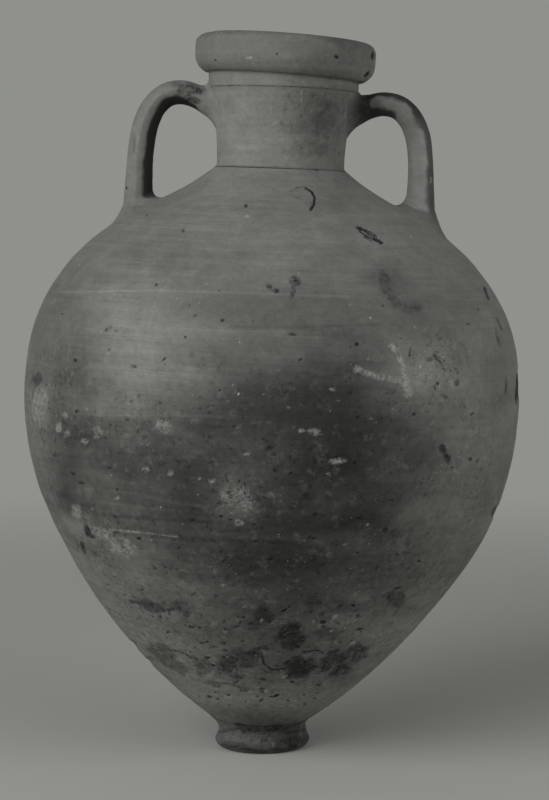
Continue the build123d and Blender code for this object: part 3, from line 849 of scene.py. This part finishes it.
def handle_surface(side, length_steps=round(300 / COARSE), around=round(96 / COARSE)):
    """The handle's surface as a grid in the body's frame: rows from the neck to the shoulder.

    Each section is an oval with a low ridge at its front and back, nearer to the handle's outer side.
    """
    rise = NECK_TOP_HEIGHT - CROWN_DROP[side] - SEAT_HEIGHT
    centre = [(HANDLE_REACH * reach, SEAT_HEIGHT + rise * height) for reach, height in HANDLE_SHARES]
    sizes = [(GRIP_WIDTH * width / 2, GRIP_THICKNESS * depth / 2) for width, depth in HANDLE_SIZE_SHARES]
    path = smooth_run(np.column_stack([centre, sizes]), HANDLE_REACH / length_steps * 1.8)
    along = np.gradient(path[:, :2], axis=0)
    along /= np.linalg.norm(along, axis=1)[:, None]
    angle = np.linspace(0, 2 * math.pi, around, endpoint=False)
    wide = np.sin(angle)
    thick = np.sign(np.cos(angle)) * np.abs(np.cos(angle)) ** RIDGE_POWER + RIDGE_SHARES[side] * wide**2
    middle = np.column_stack([path[:, 0], np.zeros(len(path)), path[:, 1]])
    out = np.column_stack([-along[:, 1], np.zeros(len(path)), along[:, 0]])
    flare = 1.0
    for _ in range(2):
        offset = out[:, None] * (path[:, 3:4] * thick)[:, :, None] * flare
        offset = offset + np.array((0, 1, 0)) * (path[:, 2:3] * wide)[:, :, None] * flare
        local = (middle[:, None] + offset).reshape(-1, 3)
        wall_normals, below = body_normals(local)
        near = np.clip(1 + below.reshape(len(path), around) / FLARE_REACH, 0, 1)
        flare = (1 + FLARE_SHARE * near**2)[:, :, None]
    above = -below
    local = local + wall_normals * np.maximum(-ROOT_DEPTH - above, 0)[:, None]
    normals = offset.reshape(-1, 3) / np.linalg.norm(offset.reshape(-1, 3), axis=1)[:, None]
    flip = np.array((-1 if side == "left" else 1, 1, 1))
    return local * flip, normals * flip, above.reshape(len(path), around)


def paint_handle_shade(side, points, normals, layers):
    """Painted shade: blackens what faces right and down on both handles, and the right handle's top and neck
    root.
    """
    x, y, z = normals.T
    # bright grows as a face turns left, to the front or back, and on the left handle upwards; the darkness
    # painted where it is low is shade
    bright = 0.62 * np.abs(y) - 0.75 * x + (0.45 * z if side == "left" else -0.36 * np.abs(z))
    bright += 0.20 * rough_noise(points, 0.012, 3, 111)
    bright += 0.12 * rough_noise(points, (0.02, 0.02, 0.05), 2, 112)
    root = smooth_step(*PAINTED_SHADE_ROOT[side], points[:, 0])
    black = PAINTED_SHADE[side]
    if side == "left":
        bright += 0.5 * root
    else:
        bright -= 0.5 * (1 - root)
        black = black + 0.28 * smooth_step(0.615, 0.645, points[:, 2])
    layers["tone"] *= 1 - black * (1 - smooth_step(*PAINTED_SHADE_EDGE[side], bright))


def handle_pieces(side, material):
    """One handle and the smears of luting clay round its two roots."""
    local, normals, above = handle_surface(side)
    rows, around = above.shape
    smooth = moved(local, body_matrix())
    normals = turned(normals, body_matrix())
    skin = smooth_step(-ROOT_DEPTH, 0.001, above).ravel() * HANDLE_SKIN
    points, layers = sculpted(smooth, normals, skin)
    # Painted shade on the handle's faces turned away from the light
    paint_handle_shade(side, points, normals, layers)
    faces = ring_faces(rows, around, False, False, False)
    faces.append(tuple(range(around)))
    faces.append(tuple(range((rows - 1) * around, rows * around)))
    new_piece(points, faces, layers, material, f"{side}_handle")
    grid, normals = smooth.reshape(rows, around, 3), normals.reshape(rows, around, 3)
    crown = rows // 4
    for root, order in (("neck", range(crown, 0, -1)), ("shoulder", range(crown, rows))):
        node, smear = f"{side}_handle_{root}_luting", SMEARS[side][root]
        smear_piece(node, grid, normals, above, list(order), smear, material)


def smear_piece(node, grid, grid_normals, above, order, smear, material):
    """A fillet of luting clay from a handle's root out on to the wall, feathered into both."""
    around = grid.shape[1]
    rise, reach_along, reach_across = smear
    columns = np.arange(around)
    found = []
    for level in (rise, 0.0):
        k = np.array([max(1, int(np.argmax(above[order, column] < level))) for column in columns])
        before, after = np.array(order)[k - 1], np.array(order)[k]
        high, low = above[before, columns], above[after, columns]
        share = np.clip((high - level) / np.maximum(high - low, 1e-9), 0, 1)[:, None]
        found.append(grid[before, columns] * (1 - share) + grid[after, columns] * share)
        if level:
            handle_normals = grid_normals[after, columns]
    starts, feet = found
    inverse = body_matrix().inverted()
    wall_normals = turned(body_normals(moved(feet, inverse))[0], body_matrix())
    outward = feet - feet.mean(0)
    outward -= wall_normals * (outward * wall_normals).sum(1)[:, None]
    outward /= np.linalg.norm(outward, axis=1)[:, None]
    reach = reach_along + (reach_across - reach_along) * np.abs(outward[:, 1]) ** 1.5
    reach *= 1 + 0.35 * rough_noise(feet, 0.03, 2, 101)
    ends = feet + outward * reach[:, None]
    rows, row_normals = [], []
    for t in np.linspace(0, 1, SMEAR_ROWS):
        row = moved(starts * (1 - t) ** 2 + feet * 2 * t * (1 - t) + ends * t**2, inverse)
        height = rise * (1 - t) ** 2 - SMEAR_DIP * smooth_step(0.55, 1.0, t)
        for _ in range(2):
            out, below = body_normals(row)
            row = row + out * (below + height)[:, None]
        row, out = moved(row, body_matrix()), turned(out, body_matrix())
        blend = smooth_step(0.0, 0.8, t)
        normal = handle_normals * (1 - blend) + out * blend
        rows.append(row)
        row_normals.append(normal / np.linalg.norm(normal, axis=1)[:, None])
    rows.append(feet - wall_normals * ROOT_DEPTH)
    row_normals.append(wall_normals)
    points, normals = np.vstack(rows), np.vstack(row_normals)
    lumps = 0.00035 * np.repeat(np.append(np.sin(np.linspace(0, math.pi, SMEAR_ROWS)), 0), around)
    points = points + normals * (lumps * rough_noise(points, 0.009, 3, 103))[:, None]
    # How much of the handle's painted shade each row keeps, from the handle out over the wall
    fade = np.repeat(np.append(np.linspace(1, 0, SMEAR_ROWS), 0), around) ** PAINTED_SHADE_FADE.get(node, 1.0)
    own = points.copy()
    points, layers = sculpted(points, normals, np.full(len(points), SMEAR_SKIN))
    wall_tone = layers["tone"].copy()
    paint_handle_shade(node.split("_")[0], own, normals, layers)
    layers["tone"] = layers["tone"] * fade + wall_tone * (1 - fade)
    faces = ring_faces(len(rows), around, True, False, False)
    new_piece(points, faces, layers, material, node)


# Materials


def add_node(tree, kind, inputs=(), **settings):
    """A new shader node. Each of its inputs is given a constant, or another node's output."""
    made = tree.nodes.new("ShaderNode" + kind)
    for key, value in settings.items():
        setattr(made, key, value)
    for key, value in dict(inputs).items():
        if isinstance(value, bpy.types.NodeSocket):
            tree.links.new(value, made.inputs[key])
        else:
            made.inputs[key].default_value = value
    return made


def empty_tree(owner):
    """The node tree of a new material or world, with nothing in it."""
    owner.use_nodes = True
    owner.node_tree.nodes.clear()
    return owner.node_tree


def crossing(tree, value, low, high):
    """0 where the value is on low's side and 1 on high's side, smooth between."""
    inputs = {"Value": value, "From Min": low, "From Max": high}
    return add_node(tree, "MapRange", inputs, interpolation_type="SMOOTHSTEP").outputs[0]


def clay_material(name, colour, dust=1.0, turning=1.0, along_handle=False):
    """Unglazed fired clay: marks from the mesh, fine turning lines, specks, pinholes and a dry rough face."""
    material = bpy.data.materials.new(name)
    tree = empty_tree(material)

    def add(kind, inputs=(), **settings):
        return add_node(tree, kind, inputs, **settings)

    def maths(operation, *values):
        return add("Math", enumerate(values), operation=operation).outputs[0]

    def crossed(value, low, high):
        return crossing(tree, value, low, high)

    def layer(scale, size, detail, roughness=0.55):
        """Noise from 0 to 1 on coordinates stretched by scale."""
        stretched = add("Mapping", {"Vector": place, "Scale": scale}).outputs[0]
        inputs = {"Vector": stretched, "Scale": size, "Detail": detail, "Roughness": roughness}
        return add("TexNoise", inputs).outputs["Fac"]

    def specks(scale, size, share):
        """Specks of many sizes: 1 inside, 0 outside, on about a share of the cells."""
        cells = add("TexVoronoi", {"Vector": uneven, "Scale": scale}).outputs
        split = add("SeparateColor", {0: cells["Color"]}).outputs
        own_size = maths("MULTIPLY_ADD", maths("POWER", split[1], 2.0), 0.8 * size, 0.3 * size)
        inside = crossed(maths("DIVIDE", cells["Distance"], own_size), 1.0, 0.4)
        return maths("MULTIPLY", inside, maths("LESS_THAN", split[0], share))

    upright = {"Vector": add("TexCoord").outputs["Object"], "Rotation": (0.0, -BODY_LEAN, 0.0)}
    place = add("Mapping", upright).outputs[0]
    shift = add("TexNoise", {"Vector": place, "Scale": 260.0, "Detail": 2.0}).outputs["Color"]
    shifted = {0: shift, 1: (0.004, 0.004, 0.004), 2: place}
    uneven = add("VectorMath", shifted, operation="MULTIPLY_ADD").outputs[0]
    layers = ("tone", "dark", "pale", "grit")
    tone, dark, pale, grit = (add("Attribute", attribute_name=name).outputs["Fac"] for name in layers)

    # Turning lines run round the jar, or along the handles
    fine, wide = (1.0, 1.0, 60.0), (1.0, 1.0, 30.0)
    if along_handle:
        fine, wide = (60.0, 40.0, 6.0), (30.0, 20.0, 4.0)
    lines = layer(wide, 6.0, 5.0, 0.62)
    fine_lines = layer(fine, 9.0, 5.0, 0.65)
    hair_lines = layer(fine, 22.0, 4.0, 0.6)
    mottle = layer((1.0, 1.0, 1.3), 42.0, 6.0, 0.62)
    crumbs = layer((1.0, 1.0, 1.0), 190.0, 4.0, 0.65)
    grain = layer((1.0, 1.0, 1.0), 520.0, 3.0, 0.65)
    pinholes = specks(150.0, 0.20, 0.10)
    small_pinholes = specks(330.0, 0.32, 0.10)
    flecks = specks(120.0, 0.14, 0.12 * dust)
    small_flecks = specks(340.0, 0.28, 0.05 * dust)

    # Pits of the gritty places: dark where the crumbs are low, pale where they are high
    dark_crumbs = maths("MULTIPLY", crossed(crumbs, 0.42, 0.33), grit)
    pale_crumbs = maths("MULTIPLY", crossed(crumbs, 0.60, 0.70), grit)
    crowded = maths("MULTIPLY", small_pinholes, maths("MULTIPLY_ADD", grit, 0.60, 0.30))

    # Marks get uneven edges: the noise counts most where a mark is neither full nor gone
    fringe = maths("MULTIPLY_ADD", maths("SUBTRACT", grain, 0.5), 0.8, maths("SUBTRACT", crumbs, 0.5))

    def ragged(mark):
        half = maths("MULTIPLY", mark, maths("SUBTRACT", 1.0, mark))
        shifted_mark = maths("MULTIPLY_ADD", maths("MULTIPLY", half, fringe), 9.0, mark)
        return maths("MINIMUM", maths("MAXIMUM", shifted_mark, 0.0), 1.0)

    dark_mark, pale_mark = ragged(dark), ragged(pale)

    # The lines are strong in some places and worn away in others
    kept = crossed(layer((1.0, 1.0, 1.6), 11.0, 3.0), 0.38, 0.62)
    worn = maths("MULTIPLY_ADD", kept, 0.75 * turning, 0.25 * turning)
    shade = tone
    for value, strength in ((lines, 0.52), (fine_lines, 0.52), (hair_lines, 0.40)):
        centred = maths("MULTIPLY", maths("SUBTRACT", value, 0.5), worn)
        shade = maths("MULTIPLY", shade, maths("MULTIPLY_ADD", centred, strength, 1.0))
    for value, strength, rest in (
        (mottle, 0.66, 0.67),
        (crumbs, 0.44, 0.78),
        (grain, 0.36, 0.82),
        (pinholes, -0.75, 1.0),
        (crowded, -1.0, 1.0),
        (dark_crumbs, -0.68, 1.0),
        (pale_crumbs, 0.70, 1.0),
        (dark_mark, -0.95, 1.0),
    ):
        shade = maths("MULTIPLY", shade, maths("MULTIPLY_ADD", value, strength, rest))
    inputs = {"Factor": 1.0, "A": (*colour, 1.0), "B": shade}
    clay = add("Mix", inputs, data_type="RGBA", blend_type="MULTIPLY").outputs["Result"]
    speckled = maths("MULTIPLY", maths("MAXIMUM", flecks, maths("MULTIPLY", small_flecks, 0.7)), 0.85)
    chalky = maths("MAXIMUM", speckled, maths("MULTIPLY", pale_mark, 0.75))
    inputs = {"Factor": chalky, "A": clay, "B": (*CHALK, 1.0)}
    dusty = add("Mix", inputs, data_type="RGBA").outputs["Result"]

    height = maths("MULTIPLY", lines, 0.35 * turning)
    for value, strength in (
        (fine_lines, 0.30 * turning),
        (crumbs, maths("MULTIPLY_ADD", grit, 1.1, 0.28)),
        (grain, 0.20),
        (pinholes, -0.9),
        (small_pinholes, -0.4),
        (dark_mark, -0.6),
        (pale_mark, 0.25),
    ):
        height = maths("MULTIPLY_ADD", value, strength, height)
    bump = add("Bump", {"Strength": 0.6, "Distance": 0.0012, "Height": height}).outputs[0]
    rough = maths("MULTIPLY_ADD", grit, 0.10, maths("MULTIPLY_ADD", mottle, 0.25, 0.62))
    inputs = {"Base Color": dusty, "Specular IOR Level": 0.30, "Roughness": rough, "Normal": bump}
    add("OutputMaterial", {"Surface": add("BsdfPrincipled", inputs).outputs[0]})
    return material


# Setting


def add_camera():
    data = bpy.data.cameras.new("camera")
    data.lens = CAMERA_LENS
    data.sensor_width = SENSOR
    data.clip_end = 50
    camera = bpy.data.objects.new("camera", data)
    camera.location = CAMERA_PLACE
    camera.rotation_euler = (math.pi / 2 - CAMERA_DIP, 0, 0)
    bpy.context.scene.collection.objects.link(camera)
    bpy.context.scene.camera = camera


def add_light(name, place, target, size, power):
    data = bpy.data.lights.new(name, "AREA")
    data.shape = "DISK"
    data.size = size
    data.energy = power
    light = bpy.data.objects.new(name, data)
    light.location = place
    light.rotation_euler = (Vector(target) - Vector(place)).to_track_quat("-Z", "Y").to_euler()
    bpy.context.scene.collection.objects.link(light)


def seen_rays(tree):
    """1 for the rays that show the backdrop to the camera or in a gloss, 0 for those that light the jar."""
    rays = add_node(tree, "LightPath").outputs
    seen = rays["Is Camera Ray"]
    for name in ("Is Glossy Ray", "Is Transmission Ray"):
        seen = add_node(tree, "Math", {0: seen, 1: rays[name]}, operation="MAXIMUM").outputs[0]
    return seen


def add_floor():
    """A level floor that fades into the backdrop's grey on all sides."""
    mesh = bpy.data.meshes.new("floor")
    corners = [(x * FLOOR_HALF, y * FLOOR_HALF, 0) for x, y in ((-1, -1), (1, -1), (1, 1), (-1, 1))]
    mesh.from_pydata(corners, [], [(0, 1, 2, 3)])
    material = bpy.data.materials.new("paper")
    tree = empty_tree(material)
    inputs = {"Base Color": (*PAPER, 1.0), "Roughness": 0.9, "Specular IOR Level": 0.2}
    paper = add_node(tree, "BsdfPrincipled", inputs).outputs[0]
    glow = add_node(tree, "Emission", {"Color": (*BACKDROP, 1.0)}).outputs[0]
    place = add_node(tree, "TexCoord").outputs["Object"]
    away = add_node(tree, "VectorMath", {0: place}, operation="LENGTH").outputs["Value"]
    inputs = {0: crossing(tree, away, *FLOOR_FADE), 1: seen_rays(tree)}
    share = add_node(tree, "Math", inputs, operation="MULTIPLY").outputs[0]
    mix = add_node(tree, "MixShader", {0: share, 1: paper, 2: glow}).outputs[0]
    add_node(tree, "OutputMaterial", {"Surface": mix})
    mesh.materials.append(material)
    floor = bpy.data.objects.new("floor", mesh)
    bpy.context.scene.collection.objects.link(floor)


def add_world():
    """Soft light from all round, and the backdrop's grey past the floor."""
    world = bpy.data.worlds.new("world")
    tree = empty_tree(world)
    light = add_node(tree, "Background", {"Color": (1.0, 1.0, 1.0, 1.0), "Strength": WORLD_LIGHT}).outputs[0]
    backdrop = add_node(tree, "Background", {"Color": (*BACKDROP, 1.0)}).outputs[0]
    mix = add_node(tree, "MixShader", {0: seen_rays(tree), 1: light, 2: backdrop}).outputs[0]
    add_node(tree, "OutputWorld", {"Surface": mix})
    bpy.context.scene.world = world


def build():
    wall = clay_material("body_clay", CLAY)
    top = clay_material("neck_clay", CLAY, 0.6, 0.45)
    strap = clay_material("handle_clay", CLAY, 0.4, 0.35, True)
    for name in BODY_NODES:
        body_piece(name, wall, BODY_COLUMNS)
    body_piece("neck", top, NECK_COLUMNS, FINE_STEP)
    shoulder = TURNED["shoulder_section"][0]
    shoulder_radius = shoulder[shoulder[:, 1] > shoulder[:, 1].max() - 1e-5, 0].max()
    seam_fill("neck_luting", body_matrix(), shoulder_radius, NECK_BASE_RADIUS, top)
    seam_fill("rim_luting", rim_matrix(), NECK_TOP_RADIUS, NECK_TOP_RADIUS, top)
    rim_piece(top)
    foot_pieces(wall)
    for side in ("left", "right"):
        handle_pieces(side, strap)


bpy.context.scene.view_settings.view_transform = "Standard"
add_camera()
add_world()
for light in LIGHTS:
    add_light(*light)
add_floor()
build()
